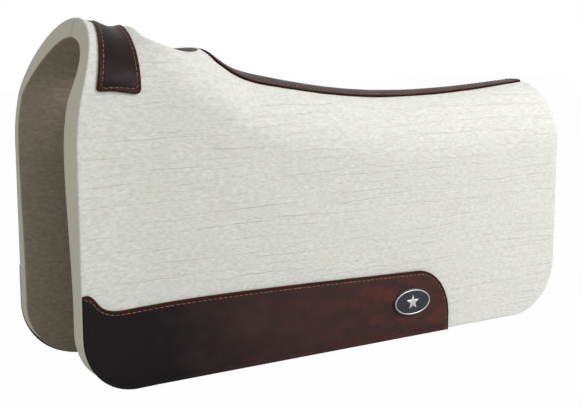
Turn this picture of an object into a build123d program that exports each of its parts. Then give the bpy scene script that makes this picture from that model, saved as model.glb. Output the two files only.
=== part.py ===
from build123d import *
import math
import os

# Contoured Western saddle pad: two thick felt halves butted along the spine, with stitched leathers.
# X runs along the spine with the withers at -X, the horse's left side is at -Y and +Z is up.
# The origin is on the surface the pad stands on, under the middle of its length.  Millimetres.
# "Reach" is a distance over the felt's outer face, from the spine down the side.

# ---- felt ----
pad_length = 787.0  # front edge to rear edge, 31 in
felt_thickness = 25.4  # 1 in pressed wool
seat_height = 342.0  # felt crest at its lowest, where the saddle's seat lies
body_half_width = 92.0  # outside of the felt to the spine plane
front_flare = 12.0  # how much further out the front edge stands
flare_length = 110.0  # how far back the flare reaches
front_rise = 113.0  # crest at the very front, above the seat
withers_rise = 107.5  # crest where the front edge meets the spine
bridge = [(66.0, 100.0), (80.0, 94.5), (95.0, 92.5), (108.0, 96.0), (122.0, 100.0)]  # distance, rise
fall = [(166.0, 90.0), (208.0, 70.5), (240.0, 49.5), (299.0, 29.0), (376.0, 14.5), (470.0, 3.3)]  # distance, rise
seat_distance = 551.0  # lowest point of the crest, from the front edge
rear_rise = 11.0  # crest at the rear edge
rear_sag = 0.27  # share of that rise reached halfway from the seat to the rear
seam_clearance = 0.3  # between the two felt halves
front_corner_radius = 75.0
rear_corner_radius = 80.0
crest_setback = 45.0  # of the front edge at the crest
shoulder_setback = 6.0  # of the front edge where the crown meets the side
setback_run = 60.0  # how far down the side the front edge still curves
setback_power = 1.2  # how the setback fades from the crest to the shoulder
front_lean = 0.2  # slope of the front edge where the crown meets the side
section_count = 40  # spaces between the sections that the felt and leathers are lofted through

# ---- wither vent, the cut-out on the spine ----
vent_start = 112.0  # from the front edge, at the crest
vent_front_length = 34.0  # to the vent's widest place
vent_rear_length = 59.0  # from there to its rear end
vent_half_width = 66.0
vent_front_flat = 38.0  # half of its straight front edge

# ---- leathers ----
leather_thickness = 3.2
leather_clearance = 0.3
strap_start = 66.0  # wither strap's front edge at the crest, from the pad's front edge
strap_width = 40.0  # along the spine, at the crest
strap_reach = 137.0
strap_lean = 37.0  # how far each end's front corner leans forward
strap_lean_power = 0.9
strap_end_width = 57.0
strap_end_slant = 9.0  # how much lower each end's front corner lies, and how much higher its rear one
strap_corner_radius = 5.0
strip_gap = 5.0  # from the vent to the spine strip
strip_front_half_width = 50.0
strip_rear_half_width = 16.0
strip_rear_margin = 6.0  # from the strip's end to the rear edge
wear_length = 572.0  # wear leather along the bottom, from the front edge
wear_height = 100.0
wear_tip_height = 126.5  # raised tip at the front edge
wear_tip_width = 13.0
wear_tip_run = 32.0  # from the tip back to the level top edge
wear_rear_radius = 60.0  # of the rear corner's ellipse, along the bottom
wear_rear_drop = 80.0  # of the rear corner's ellipse, up the side

# ---- stitching ----
thread_width = 1.1
thread_lift = 0.8  # how far a stitch stands above the leather
thread_clearance = 0.3
stitch_inset = 5.0  # from the leather's edge
stitch_pitch = 7.5
stitch_length = 5.5
seam_pitch = 12.0  # of the zigzag inside the spine
seam_half_width = 5.0
seam_margin = 8.0  # from the zigzag's ends to the edges of the felt
seam_thread_clearance = 0.5  # under the felt's curved inner face

# ---- badge ----
badge_distance = 502.0  # centre, from the front edge
badge_height = 51.0
badge_length = 66.0
badge_width = 39.0
badge_thickness = 2.4
badge_rim_width = 1.4
badge_rim_inset = 1.8
badge_relief = 0.6  # how far the rim and the star stand out
star_radius = 11.0
star_waist = 0.42  # inner radius as a share of the outer
rivet_spacing = 36.0
rivet_shank_radius = 1.5
rivet_hole_clearance = 0.1
rivet_head_radius = 4.0
rivet_head_thickness = 1.0
rivet_pocket_clearance = 0.3

# ---- worked out ----
front_x = -pad_length / 2
rear_x = pad_length / 2
seat_x = front_x + seat_distance
overrun = 50.0  # how far the blocks that cut the pad stand past it
well_above = seat_height + front_rise + 2 * overrun
well_out = body_half_width + front_flare + overrun
probe = 0.5  # half of the step that finds the slope of the face
leather_top = leather_clearance + leather_thickness
thread_base = leather_top + thread_clearance
vent_end = front_x + vent_start + vent_front_length + vent_rear_length
strip_start = vent_end + strip_gap
strip_end = rear_x - strip_rear_margin
wear_end = front_x + wear_length
badge_x = front_x + badge_distance
badge_back = body_half_width + leather_top
seam_depth = felt_thickness + seam_thread_clearance

# Crest of the felt along the spine: a dip over the bridge, a fall behind the vent and a long seat.
crest_points = [
    (front_x, seat_height + front_rise),
    (front_x + crest_setback, seat_height + withers_rise),
    *[(front_x + distance, seat_height + rise) for distance, rise in bridge + fall],
    (seat_x, seat_height),
    ((seat_x + rear_x) / 2, seat_height + rear_sag * rear_rise),
    (rear_x, seat_height + rear_rise),
]
with BuildLine(Plane.XZ) as crest_line:
    crest = Spline(*crest_points)


def crest_height(x):
    """Height of the felt's crest at x."""
    low, high = 0.0, 1.0
    while high - low > 1e-6:
        middle = (low + high) / 2
        if (crest @ middle).X < x:
            low = middle
        else:
            high = middle
    return (crest @ low).Z


def half_width(x):
    """Half of the felt's outer width at x, which flares towards the front edge."""
    ahead = max(0.0, 1 - (x - front_x) / flare_length)
    return body_half_width + front_flare * ahead**2


def on_face(x, reach):
    """Point of the felt's outer face on the left side."""
    radius = half_width(x)
    centre_z = crest_height(x) - radius
    quarter = radius * math.pi / 2
    if reach > quarter:
        return Vector(x, -radius, centre_z - (reach - quarter))
    return Vector(x, -radius * math.sin(reach / radius), centre_z + radius * math.cos(reach / radius))


def face_normal(x, reach):
    """Direction straight out of the felt's outer face on the left side."""
    along = on_face(x + probe, reach) - on_face(x - probe, reach)
    down = on_face(x, reach + probe) - on_face(x, reach - probe)
    return down.cross(along).normalized()


def off_face(x, reach, lift):
    """Point a distance off the felt's outer face on the left side."""
    return on_face(x, reach) + face_normal(x, reach) * lift


def reach_at(x, z):
    """Reach down to height z on the straight part of the side."""
    radius = half_width(x)
    return radius * math.pi / 2 + crest_height(x) - radius - z


def stations(start, end, count):
    """Places from start to end, evenly spaced."""
    return [start + (end - start) * step / count for step in range(count + 1)]


def loft_stations(start, end):
    """Places for a loft's sections, the same for the felt and the leathers, from start or before to end."""
    every = stations(front_x, rear_x, section_count)
    pitch = pad_length / section_count
    return [x for x in every if start - pitch < x < end + pitch]


def section_plane(x):
    """Plane across the pad at x, with its own x pointing out to the left side and its y up."""
    return Plane(origin=(x, 0, 0), x_dir=(0, -1, 0), z_dir=(-1, 0, 0))


def half_section(x, inner, outer, bottom):
    """Left half of the inverted U between two offsets from the felt's outer face."""
    radius = half_width(x)
    centre_z = crest_height(x) - radius
    with BuildSketch(section_plane(x)) as section:
        with BuildLine():
            CenterArc((0, centre_z), radius + outer, 0, 90)
            Line((0, centre_z + radius + outer), (0, centre_z + radius + inner))
            CenterArc((0, centre_z), radius + inner, 0, 90)
            Line((radius + inner, centre_z), (radius + inner, bottom))
            Line((radius + inner, bottom), (radius + outer, bottom))
            Line((radius + outer, bottom), (radius + outer, centre_z))
        make_face()
    return section.sketch


def badge_plane(out):
    """Plane facing out of the left side, centred on the badge, at a distance from the spine plane."""
    return Plane(origin=(badge_x, -out, badge_height), x_dir=(1, 0, 0), z_dir=(0, -1, 0))


def save(part, name):
    """Label a finished piece and write it as its own STEP file."""
    part.label = name
    export_step(part, f"parts/{name}.step")


def save_pair(left, name):
    """Write a left-hand piece and its mirror image on the right."""
    with BuildPart() as right:
        mirror(left, about=Plane.XZ)
    save(left, f"{name}_left")
    save(right.part, f"{name}_right")


os.makedirs("parts", exist_ok=True)

# ---- block of the pad's outline, seen from the side ----
crown_x = front_x + crest_setback / 2
crown_z = crest_height(crown_x) - half_width(crown_x)
edge_low_z = crown_z - setback_run
with BuildPart() as outline_block:
    with BuildSketch(Plane.XZ):
        with BuildLine():
            front_edge = Spline(
                (front_x, edge_low_z),
                (front_x + shoulder_setback, crown_z),
                tangents=[(0, 1), (front_lean, 1)],
            )
            Polyline(
                front_edge @ 1,
                (front_x + shoulder_setback + front_lean * (well_above - crown_z), well_above),
                (rear_x, well_above),
                (rear_x, rear_corner_radius),
            )
            RadiusArc((rear_x, rear_corner_radius), (rear_x - rear_corner_radius, 0), rear_corner_radius)
            Line((rear_x - rear_corner_radius, 0), (front_x + front_corner_radius, 0))
            RadiusArc((front_x + front_corner_radius, 0), (front_x, front_corner_radius), front_corner_radius)
            Line((front_x, front_corner_radius), front_edge @ 0)
        make_face()
    extrude(amount=well_out, both=True)

# ---- block in front of the crown: the front edge is set back most at the crest ----
trim_inner = body_half_width - 2 * felt_thickness
trim_outer = body_half_width + front_flare + overrun
with BuildPart() as front_trim:
    for angle in (0, 22.5, 45, 67.5, 90):
        turn = math.radians(angle)
        setback = shoulder_setback + (crest_setback - shoulder_setback) * abs(math.cos(turn)) ** setback_power
        radial = Plane(
            origin=(front_x, 0, crown_z),
            x_dir=(1, 0, 0),
            z_dir=(0, -math.cos(turn), -math.sin(turn)),
        )
        with BuildSketch(radial):
            with BuildLine():
                Polyline(
                    (-crest_setback, trim_inner),
                    (setback, trim_inner),
                    (setback, trim_outer),
                    (-crest_setback, trim_outer),
                    close=True,
                )
            make_face()
    loft()

# ---- block of the wither vent, seen from above ----
vent_x = front_x + vent_start
vent_wide_x = vent_x + vent_front_length
with BuildPart() as vent_block:
    with BuildSketch(Plane.XY.offset(seat_height / 2)):
        with BuildLine():
            Line((vent_x, 0), (vent_x, -vent_front_flat))
            EllipticalCenterArc(
                (vent_wide_x, -vent_front_flat),
                vent_front_length,
                vent_half_width - vent_front_flat,
                start_angle=180,
            )
            EllipticalCenterArc((vent_wide_x, 0), vent_rear_length, vent_half_width, start_angle=270)
            Line((vent_end, 0), (vent_x, 0))
        make_face()
        mirror(about=Plane.XZ)
    extrude(amount=well_above)

# ---- felt half, with pockets for the badge's rivet heads ----
pocket_depth = rivet_head_thickness + rivet_pocket_clearance
with BuildPart() as felt_left:
    for x in loft_stations(front_x, rear_x):
        add(half_section(x, -felt_thickness, 0, -overrun))
    loft()
    add(outline_block.part, mode=Mode.INTERSECT)
    add(front_trim.part, mode=Mode.SUBTRACT)
    add(vent_block.part, mode=Mode.SUBTRACT)
    with Locations((0, 0, well_above / 2)):
        Box(2 * pad_length, seam_clearance, 2 * well_above, mode=Mode.SUBTRACT)
    with BuildSketch(badge_plane(body_half_width - pocket_depth)):
        with GridLocations(rivet_spacing, 1, 2, 1):
            Circle(rivet_head_radius + rivet_pocket_clearance)
    extrude(amount=overrun, mode=Mode.SUBTRACT)
save_pair(felt_left.part, "felt")

# ---- wear leather: a panel on the lower front of the side ----
tip_x = front_x + wear_tip_width
level_x = tip_x + wear_tip_run
curve_x = wear_end - wear_rear_radius
curve_z = wear_height - wear_rear_drop
with BuildPart() as wear_leather_left:
    for x in loft_stations(front_x, wear_end):
        near = half_width(x) + leather_clearance
        far = half_width(x) + leather_top
        top = wear_tip_height + overrun
        with BuildSketch(section_plane(x)):
            with BuildLine():
                Polyline((near, -overrun), (far, -overrun), (far, top), (near, top), close=True)
            make_face()
    loft()
    add(outline_block.part, mode=Mode.INTERSECT)
    with BuildSketch(Plane.XZ):
        with BuildLine():
            Polyline(
                (wear_end, curve_z),
                (wear_end, -overrun),
                (front_x - overrun, -overrun),
                (front_x - overrun, wear_tip_height),
                (tip_x, wear_tip_height),
            )
            Spline((tip_x, wear_tip_height), (level_x, wear_height), tangents=[(1, -0.8), (1, 0)])
            Line((level_x, wear_height), (curve_x, wear_height))
            EllipticalCenterArc((curve_x, curve_z), wear_rear_radius, wear_rear_drop)
        make_face()
    extrude(amount=well_out, both=True, mode=Mode.INTERSECT)
    with BuildSketch(badge_plane(body_half_width)):
        with GridLocations(rivet_spacing, 1, 2, 1):
            Circle(rivet_shank_radius + rivet_hole_clearance)
    extrude(amount=overrun, mode=Mode.SUBTRACT)
save_pair(wear_leather_left.part, "wear_leather")

# ---- badge: an oval plate with a raised rim line and a plain star ----
badge_front = badge_back + badge_thickness
with BuildPart() as badge_plate:
    with BuildSketch(badge_plane(badge_back)):
        Ellipse(badge_length / 2, badge_width / 2)
    extrude(amount=badge_thickness)
    fillet(badge_plate.faces().sort_by(Axis.Y)[0].edges(), badge_thickness / 3)
save_pair(badge_plate.part, "badge_plate")

with BuildPart() as badge_rim:
    rim_inner = badge_rim_inset + badge_rim_width
    with BuildSketch(badge_plane(badge_front)):
        Ellipse(badge_length / 2 - badge_rim_inset, badge_width / 2 - badge_rim_inset)
        Ellipse(badge_length / 2 - rim_inner, badge_width / 2 - rim_inner, mode=Mode.SUBTRACT)
    extrude(amount=badge_relief)
save_pair(badge_rim.part, "badge_rim")

with BuildPart() as badge_star:
    star_points = []
    for step in range(10):
        size = star_radius * (star_waist if step % 2 else 1)
        turn = math.radians(90 + 36 * step)
        star_points.append((size * math.cos(turn), size * math.sin(turn)))
    with BuildSketch(badge_plane(badge_front)):
        with BuildLine():
            Polyline(*star_points, close=True)
        make_face()
    extrude(amount=badge_relief)
save_pair(badge_star.part, "badge_star")

# ---- rivets that hold the badge: shanks through the leather, flat heads behind it ----
with BuildPart() as badge_rivets:
    with BuildSketch(badge_plane(badge_back)):
        with GridLocations(rivet_spacing, 1, 2, 1):
            Circle(rivet_shank_radius)
    extrude(amount=-leather_thickness)
    with BuildSketch(badge_plane(badge_back - leather_thickness)):
        with GridLocations(rivet_spacing, 1, 2, 1):
            Circle(rivet_head_radius)
    extrude(amount=-rivet_head_thickness)
save_pair(badge_rivets.part, "badge_rivets")


# ---- wither strap: over the bridge in front of the vent ----
def strap_front(reach):
    """X of the strap's front edge at a reach."""
    return front_x + strap_start - strap_lean * (reach / strap_reach) ** strap_lean_power


def strap_rear(reach):
    """X of the strap's rear edge at a reach."""
    return strap_front(reach) + strap_width + (strap_end_width - strap_width) * reach / strap_reach


def side_view(x, reach):
    """Place on the leather's outer face, seen from the side."""
    point = off_face(x, reach, leather_top)
    return point.X, point.Z


with BuildPart() as wither_strap:
    for x in loft_stations(front_x, front_x + vent_start + vent_front_length):
        add(half_section(x, leather_clearance, leather_top, seat_height / 2))
    loft()
    low_front = strap_reach + strap_end_slant
    low_rear = strap_reach - strap_end_slant
    with BuildSketch(Plane.XZ) as strap_outline:
        with BuildLine():
            fore = Spline(*[side_view(strap_front(reach), reach) for reach in stations(0, low_front, 4)])
            aft = Spline(*[side_view(strap_rear(reach), reach) for reach in stations(0, low_rear, 4)])
            Line(fore @ 1, aft @ 1)
            Polyline(fore @ 0, ((fore @ 0).X, well_above), ((aft @ 0).X, well_above), aft @ 0)
        make_face()
        fillet(strap_outline.vertices().sort_by(Axis.Z)[:2], strap_corner_radius)
    extrude(amount=well_out, both=True, mode=Mode.INTERSECT)
    mirror(about=Plane.XZ)
save(wither_strap.part, "wither_strap")


# ---- spine strip: over the seam behind the vent, tapering to the rear ----
def strip_half_width(x):
    """Half of the strip's width over the felt at x."""
    share = (x - strip_start) / (strip_end - strip_start)
    return strip_front_half_width + (strip_rear_half_width - strip_front_half_width) * share


with BuildPart() as spine_strip:
    for x in loft_stations(vent_end, rear_x):
        add(half_section(x, leather_clearance, leather_top, seat_height / 2))
    loft()
    with BuildSketch(Plane.XY):
        with BuildLine():
            edge_points = [off_face(x, strip_half_width(x), leather_top) for x in stations(strip_start, strip_end, 5)]
            edge = Spline(*[(strip_start, edge_points[0].Y)] + [(p.X, p.Y) for p in edge_points[1:]])
            Polyline(edge @ 1, ((edge @ 1).X, 0), (strip_start, 0), edge @ 0)
        make_face()
    extrude(amount=well_above, mode=Mode.INTERSECT)
    mirror(about=Plane.XZ)
save(spine_strip.part, "spine_strip")


# ---- stitch rows ----
def stitch_ends(path):
    """Start and end of each stitch along a path of (x, reach) corners."""
    ends = []
    waiting = 0.0
    for (x0, r0), (x1, r1) in zip(path, path[1:]):
        run = math.hypot(x1 - x0, r1 - r0)
        while waiting + stitch_length <= run:
            pair = []
            for along in (waiting, waiting + stitch_length):
                pair.append((x0 + (x1 - x0) * along / run, r0 + (r1 - r0) * along / run))
            ends.append(pair)
            waiting += stitch_pitch
        waiting = max(0.0, waiting - run)
    return ends


def stitch_row(path):
    """Flat stitches lying on the leather along a path over the left side."""
    with BuildPart() as row:
        for start, end in stitch_ends(path):
            middle = ((start[0] + end[0]) / 2, (start[1] + end[1]) / 2)
            along = (off_face(*end, thread_base) - off_face(*start, thread_base)).normalized()
            out = face_normal(*middle)
            square = out - along * out.dot(along)
            with BuildSketch(Plane(origin=off_face(*middle, thread_base), x_dir=along, z_dir=square)):
                SlotOverall(stitch_length, thread_width)
        extrude(amount=thread_lift)
    return row.part


wear_path = [(tip_x - stitch_inset, wear_tip_height - stitch_inset)]
wear_path.append((tip_x + 0.4 * wear_tip_run, (wear_height + wear_tip_height) / 2 - 1.6 * stitch_inset))
wear_path += [(x, wear_height - stitch_inset) for x in stations(level_x, curve_x, 12)]
for turn in stations(math.pi / 2, 0, 14)[1:]:
    across = (wear_rear_radius - stitch_inset) * math.cos(turn)
    up = (wear_rear_drop - stitch_inset) * math.sin(turn)
    wear_path.append((curve_x + across, curve_z + up))
save_pair(stitch_row([(x, reach_at(x, z)) for x, z in wear_path]), "wear_leather_thread")

first_reach = (stitch_pitch - stitch_length) / 2
fore_reaches = stations(first_reach, low_front - stitch_inset, 10)
aft_reaches = stations(low_rear - stitch_inset, first_reach, 10)
strap_path = [(strap_front(reach) + stitch_inset, reach) for reach in fore_reaches]
strap_path += [(strap_rear(reach) - stitch_inset, reach) for reach in aft_reaches]
with BuildPart() as wither_strap_thread:
    add(stitch_row(strap_path))
    mirror(about=Plane.XZ)
save(wither_strap_thread.part, "wither_strap_thread")

strip_front_x = strip_start + stitch_inset
strip_stitch_x = stations(strip_front_x, strip_end - stitch_inset, 30)
strip_path = [(strip_front_x, first_reach)]
strip_path += [(x, strip_half_width(x) - stitch_inset) for x in strip_stitch_x]
with BuildPart() as spine_strip_thread:
    add(stitch_row(strip_path))
    mirror(about=Plane.XZ)
save(spine_strip_thread.part, "spine_strip_thread")


# ---- seam thread: a zigzag under the spine that joins the felt halves ----
def seam_row(start, end):
    """Zigzag of stitches across the seam, just under the felt's inner face."""
    count = int((end - start) / (seam_pitch / 2))
    with BuildPart() as row:
        for step in range(count):
            x0 = start + step * seam_pitch / 2
            x1 = x0 + seam_pitch / 2 - thread_width
            side = seam_half_width if step % 2 else -seam_half_width
            first = Vector(x0, -side, crest_height(x0) - seam_depth)
            last = Vector(x1, side, crest_height(x1) - seam_depth)
            under = -face_normal((x0 + x1) / 2, 0)
            along = last - first
            square = under - along * (under.dot(along) / along.dot(along))
            with BuildSketch(Plane(origin=(first + last) / 2, x_dir=along, z_dir=square)):
                SlotOverall(along.length, thread_width)
        extrude(amount=thread_lift)
    return row.part


save(seam_row(front_x + crest_setback + seam_margin, vent_x - seam_margin), "seam_thread_front")
save(seam_row(vent_end + seam_margin, rear_x - seam_margin), "seam_thread_rear")
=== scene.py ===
import math

import bmesh
import bpy
import numpy as np
from mathutils import Matrix, Vector, noise
from mathutils.geometry import delaunay_2d_cdt
from mathutils.kdtree import KDTree


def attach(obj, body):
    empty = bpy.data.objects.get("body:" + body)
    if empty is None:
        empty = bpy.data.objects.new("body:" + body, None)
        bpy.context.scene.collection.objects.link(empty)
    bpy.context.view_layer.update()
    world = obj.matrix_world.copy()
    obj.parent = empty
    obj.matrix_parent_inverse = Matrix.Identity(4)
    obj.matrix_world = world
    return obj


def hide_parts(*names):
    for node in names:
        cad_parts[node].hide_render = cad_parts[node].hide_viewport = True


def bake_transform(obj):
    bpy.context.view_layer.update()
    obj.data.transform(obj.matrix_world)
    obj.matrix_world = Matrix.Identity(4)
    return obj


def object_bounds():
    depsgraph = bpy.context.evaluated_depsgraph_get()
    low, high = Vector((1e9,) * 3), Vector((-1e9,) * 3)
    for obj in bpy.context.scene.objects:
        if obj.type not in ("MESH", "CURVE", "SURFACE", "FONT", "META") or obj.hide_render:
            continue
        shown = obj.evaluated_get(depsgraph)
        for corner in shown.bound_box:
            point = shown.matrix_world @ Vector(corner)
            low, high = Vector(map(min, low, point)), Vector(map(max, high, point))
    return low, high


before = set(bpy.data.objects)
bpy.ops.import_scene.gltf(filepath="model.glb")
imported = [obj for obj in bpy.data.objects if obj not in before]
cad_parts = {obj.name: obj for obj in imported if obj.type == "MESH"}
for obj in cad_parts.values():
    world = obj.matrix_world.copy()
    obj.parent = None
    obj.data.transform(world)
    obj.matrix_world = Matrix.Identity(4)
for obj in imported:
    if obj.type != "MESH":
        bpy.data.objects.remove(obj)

# A contoured Western saddle pad.  Metres; X runs along the spine with the withers at -X, the horse's
# left side is at -Y and Z is up.  Each section below makes one piece, or a pair of like pieces.
MM = 0.001
cad_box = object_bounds()
SIDES = {"left": -1, "right": 1}

# ---------------------------------------------------------------- studio
# A plain white table, three large soft lamps and a white room.
# The camera stands at the horse's left, a little in front of the withers and just above the spine.
scene = bpy.context.scene
scene.view_settings.view_transform = "Standard"

camera_data = bpy.data.cameras.new("camera")
camera_data.lens = 69.9
camera_data.sensor_width = 36.0
camera = bpy.data.objects.new("camera", camera_data)
camera.location = (-0.8865, -1.310, 0.441)
camera.rotation_euler = (math.radians(90 - 9.1), 0, math.radians(-33.0))
scene.collection.objects.link(camera)
scene.camera = camera


def add(tree, kind, inputs=None, **settings):
    """Add a node with its settings; an input is a value, or a node or socket to link from."""
    node = tree.nodes.new(kind)
    for name, value in settings.items():
        setattr(node, name, value)
    for name, value in (inputs or {}).items():
        socket = node.inputs[name]
        if isinstance(value, bpy.types.Node):
            value = next(output for output in value.outputs if output.enabled)
        if isinstance(value, bpy.types.NodeSocket):
            tree.links.new(value, socket)
        else:
            socket.default_value = value
    return node


def colour(code):
    """Linear RGBA of an sRGB hex code."""
    channels = [int(code[i : i + 2], 16) / 255 for i in (0, 2, 4)]
    linear = [c / 12.92 if c <= 0.04045 else ((c + 0.055) / 1.055) ** 2.4 for c in channels]
    return (*linear, 1.0)


def new_object(name, data):
    """An object at the origin, in the scene."""
    piece = bpy.data.objects.new(name, data)
    scene.collection.objects.link(piece)
    return piece


def new_material(name):
    """A material with nothing in its node tree, and that tree."""
    finish = bpy.data.materials.new(name)
    finish.use_nodes = True
    finish.node_tree.nodes.clear()
    return finish, finish.node_tree


world = bpy.data.worlds.new("room")
scene.world = world
world.use_nodes = True
room = world.node_tree
room.nodes.clear()
ray = add(room, "ShaderNodeLightPath")
seen = ray.outputs["Is Camera Ray"]
for kind in ("Is Glossy Ray", "Is Transmission Ray"):
    seen = add(room, "ShaderNodeMath", {0: seen, 1: ray.outputs[kind]}, operation="MAXIMUM")
strength = add(room, "ShaderNodeMapRange", {"Value": seen, "To Min": 0.38, "To Max": 1.0})
backdrop = add(room, "ShaderNodeBackground", {"Color": (1, 1, 1, 1), "Strength": strength})
add(room, "ShaderNodeOutputWorld", {"Surface": backdrop})


def lamp(name, place, aim, size, power):
    """A large soft lamp at a place, aimed at a point."""
    data = bpy.data.lights.new(name, "AREA")
    data.shape = "DISK"
    data.size = size
    data.energy = power
    light = new_object(name, data)
    light.location = place
    light.rotation_euler = (Vector(aim) - Vector(place)).to_track_quat("-Z", "Y").to_euler()


lamp("key", (1.2, -1.3, 1.35), (0.2, 0, 0.25), 1.0, 27)
lamp("top", (0.5, -0.3, 2.4), (0.15, 0, 0.2), 1.6, 9)
lamp("fill", (-2.2, -1.3, 1.1), (-0.3, 0, 0.25), 1.4, 7)

floor_mesh = bpy.data.meshes.new("floor")
floor_edge = 6.0
floor_mesh.from_pydata([(x, y, 0) for x, y in ((-1, -1), (1, -1), (1, 1), (-1, 1))], [], [(0, 1, 2, 3)])
floor_mesh.transform(Matrix.Diagonal((floor_edge, floor_edge, 1, 1)))
floor = new_object("floor", floor_mesh)

# Matt white paper, lit from within where the camera sees it, so that it has no horizon.
paper, tree = new_material("white_paper")
ray = add(tree, "ShaderNodeLightPath")
matt = add(tree, "ShaderNodeBsdfDiffuse", {"Color": colour("D9D9D9")})
white = add(tree, "ShaderNodeEmission", {"Color": (1, 1, 1, 1), "Strength": 1.0})
shown = add(tree, "ShaderNodeMath", {0: ray.outputs["Is Camera Ray"], 1: 0.98}, operation="MULTIPLY")
mixed = add(
    tree,
    "ShaderNodeMixShader",
    {0: shown, 1: matt, 2: white},
)
add(tree, "ShaderNodeOutputMaterial", {"Surface": mixed})
floor_mesh.materials.append(paper)

# ---------------------------------------------------------------- felt halves
# Two panels of 1 in pressed wool, die-cut square to their faces, formed over the back and butted
# along the spine.  The crown is a half round; the front edge flares and is set back over the crest.
low, high = cad_box
FRONT_X = low[0]
REAR_X = high[0]
FELT_THICKNESS = 25.4 * MM
BODY_HALF_WIDTH = 92 * MM
FRONT_FLARE = 12 * MM
FLARE_LENGTH = 110 * MM
SEAM_HALF_GAP = 0.2 * MM
SEAM_OPENING = 1.3 * MM
CREST_SETBACK = 45 * MM
SETBACK_POWER = 1.2
SHOULDER_SETBACK = 6 * MM
SETBACK_RUN = 60 * MM
FRONT_CORNER = 75 * MM
FELT_CORNER = 70 * MM
FELT_LIFT = 6.5 * MM
REAR_CORNER = 80 * MM
VENT_START = 112 * MM
VENT_FRONT_LENGTH = 34 * MM
VENT_REAR_LENGTH = 59 * MM
VENT_HALF_WIDTH = 66 * MM
VENT_FRONT_FLAT = 38 * MM
VENT_END = FRONT_X + VENT_START + VENT_FRONT_LENGTH + VENT_REAR_LENGTH
FELT_EDGE_ROUND = 1.6 * MM
FELT_STEP = 3.4 * MM
WRINKLE_PITCH = 21 * MM
FOLD_PITCH = 17 * MM
FOLD_DEPTH = 3.6 * MM

# Crest of the felt: distance behind the front edge and height, with the seat lowest at 551.
CREST = [
    (0, 455), (45, 449.5), (66, 442), (80, 436.5), (95, 434.5), (108, 438), (122, 442), (166, 432),
    (208, 410), (240, 389.5), (299, 370.5), (376, 356.5), (470, 345.3), (551, 342), (669, 345),
    (787, 353),
]


def smooth_curve(points):
    """Natural cubic spline through (x, y) points, as a function of x."""
    x, y = np.array(points, float).T
    run = np.diff(x)
    system = np.eye(len(x))
    turns = np.zeros(len(x))
    for i in range(1, len(x) - 1):
        system[i, i - 1 : i + 2] = run[i - 1], 2 * (run[i - 1] + run[i]), run[i]
        turns[i] = 6 * ((y[i + 1] - y[i]) / run[i] - (y[i] - y[i - 1]) / run[i - 1])
    bend = np.linalg.solve(system, turns)

    def value(at):
        k = np.clip(np.searchsorted(x, at) - 1, 0, len(x) - 2)
        a = (x[k + 1] - at) / run[k]
        b = 1 - a
        curved = ((a**3 - a) * bend[k] + (b**3 - b) * bend[k + 1]) * run[k] ** 2 / 6
        return a * y[k] + b * y[k + 1] + curved

    return value


crest_height = smooth_curve([(FRONT_X + d * MM, z * MM) for d, z in CREST])


def half_width(x):
    """Half of the felt's outer width, which flares towards the front edge."""
    return BODY_HALF_WIDTH + FRONT_FLARE * np.clip(1 - (x - FRONT_X) / FLARE_LENGTH, 0, None) ** 2


def on_face(x, reach):
    """Points (x, out, z) of the felt's outer face; reach is measured over it from the spine."""
    radius = half_width(x)
    centre = crest_height(x) - radius
    around = np.clip(reach / radius, -math.pi / 2, math.pi / 2)
    beyond = np.abs(reach) - np.abs(around) * radius
    up = centre + radius * np.cos(around) - beyond
    return np.stack([x + 0 * reach, radius * np.sin(around), up], -1)


def outward(x, reach):
    """Directions straight out of the felt's outer face, as (x, out, z)."""
    step = 0.5 * MM
    along = on_face(x + step, reach) - on_face(x - step, reach)
    down = on_face(x, reach + step) - on_face(x, reach - step)
    normal = np.cross(along, down)
    return normal / np.linalg.norm(normal, axis=-1, keepdims=True)


def off_face(x, reach, lift, side):
    """Points a distance off the felt's outer face, on the left (side -1) or the right (side 1)."""
    return (on_face(x, reach) + outward(x, reach) * np.asarray(lift)[..., None]) * [1, side, 1]


def reach_at(x, z):
    """Reach down to a height on the straight part of the side."""
    radius = half_width(x)
    return radius * math.pi / 2 + crest_height(x) - radius - z


def spaced(points, step, closed=True):
    """A polyline's points again, evenly spaced about a step apart, with its sharp corners kept."""
    points = np.asarray(points, float)
    if closed:
        points = np.vstack([points, points[:1]])
    result = []
    for a, b in zip(points, points[1:]):
        count = max(1, round(np.linalg.norm(b - a) / step))
        result += [a + (b - a) * k / count for k in range(count)]
    if not closed:
        result.append(points[-1])
    return np.array(result)


def inset(outline, distance):
    """A closed counter-clockwise outline moved inwards, mitred at its corners."""
    before = outline - np.roll(outline, 1, axis=0)
    after = np.roll(outline, -1, axis=0) - outline
    before /= np.linalg.norm(before, axis=1, keepdims=True)
    after /= np.linalg.norm(after, axis=1, keepdims=True)
    turn = lambda v: np.stack([-v[:, 1], v[:, 0]], -1)
    middle = turn(before) + turn(after)
    middle /= np.maximum(0.5, (middle * turn(before)).sum(1))[:, None]
    return outline + middle * distance


def area_of(outline):
    """Area inside a closed outline, positive where it runs counter-clockwise."""
    after = np.roll(outline, -1, axis=0)
    return float((outline[:, 0] * after[:, 1] - outline[:, 1] * after[:, 0]).sum() / 2)


def inside(outline, xs, y):
    """Which of the places (x, y) of one row lie inside a closed outline."""
    after = np.roll(outline, -1, axis=0)
    crossing = (outline[:, 1] > y) != (after[:, 1] > y)
    a, b = outline[crossing], after[crossing]
    cuts = np.sort(a[:, 0] + (y - a[:, 1]) * (b[:, 0] - a[:, 0]) / (b[:, 1] - a[:, 1]))
    return np.searchsorted(cuts, xs) % 2 == 1


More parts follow.
